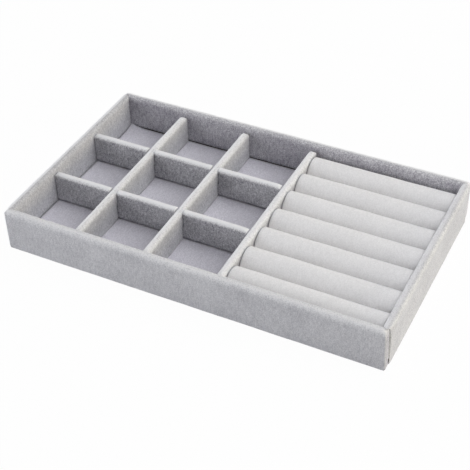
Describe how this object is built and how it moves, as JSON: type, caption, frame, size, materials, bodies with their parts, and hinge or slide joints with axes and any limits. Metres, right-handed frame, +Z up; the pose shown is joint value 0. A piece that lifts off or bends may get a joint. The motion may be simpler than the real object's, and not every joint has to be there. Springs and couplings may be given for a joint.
{
  "type": "jewelry organizer tray",
  "caption": "Shallow velvet-covered tray with a grid of square cells beside a row of padded ring rolls, for keeping earrings, pendants and rings apart in a drawer or on a table.",
  "frame": {"origin": "middle of the flat underside sheet, on the table", "axes": "+X runs along the long side from the cells towards the ring rolls, +Y from the front to the back, +Z up"},
  "size_m": [0.2094, 0.1248, 0.024],
  "materials": {
    "wall_velvet": "matte",
    "divider_velvet": "matte",
    "floor_velvet": "matte",
    "roll_velvet": "matte",
    "fibreboard": "matte",
    "roll_foam": "matte",
    "underside_paper": "matte"
  },
  "bodies": {
    "root": {"back_wall_board": "fibreboard", "back_wall_cover": "wall_velvet", "base_board": "fibreboard", "column_divider_1_board": "fibreboard", "column_divider_1_cover": "divider_velvet", "column_divider_2_board": "fibreboard", "column_divider_2_cover": "divider_velvet", "floor_lining": "floor_velvet", "front_wall_board": "fibreboard", "front_wall_cover": "wall_velvet", "left_wall_board": "fibreboard", "left_wall_cover": "wall_velvet", "right_wall_board": "fibreboard", "right_wall_cover": "wall_velvet", "ring_roll_1_core": "roll_foam", "ring_roll_1_cover": "roll_velvet", "ring_roll_2_core": "roll_foam", "ring_roll_2_cover": "roll_velvet", "ring_roll_3_core": "roll_foam", "ring_roll_3_cover": "roll_velvet", "ring_roll_4_core": "roll_foam", "ring_roll_4_cover": "roll_velvet", "ring_roll_5_core": "roll_foam", "ring_roll_5_cover": "roll_velvet", "ring_roll_6_core": "roll_foam", "ring_roll_6_cover": "roll_velvet", "ring_roll_7_core": "roll_foam", "ring_roll_7_cover": "roll_velvet", "row_divider_1_board": "fibreboard", "row_divider_1_cover": "divider_velvet", "row_divider_2_board": "fibreboard", "row_divider_2_cover": "divider_velvet", "section_divider_board": "fibreboard", "section_divider_cover": "divider_velvet", "underside_sheet": "underside_paper"}
  },
  "joints": []
}
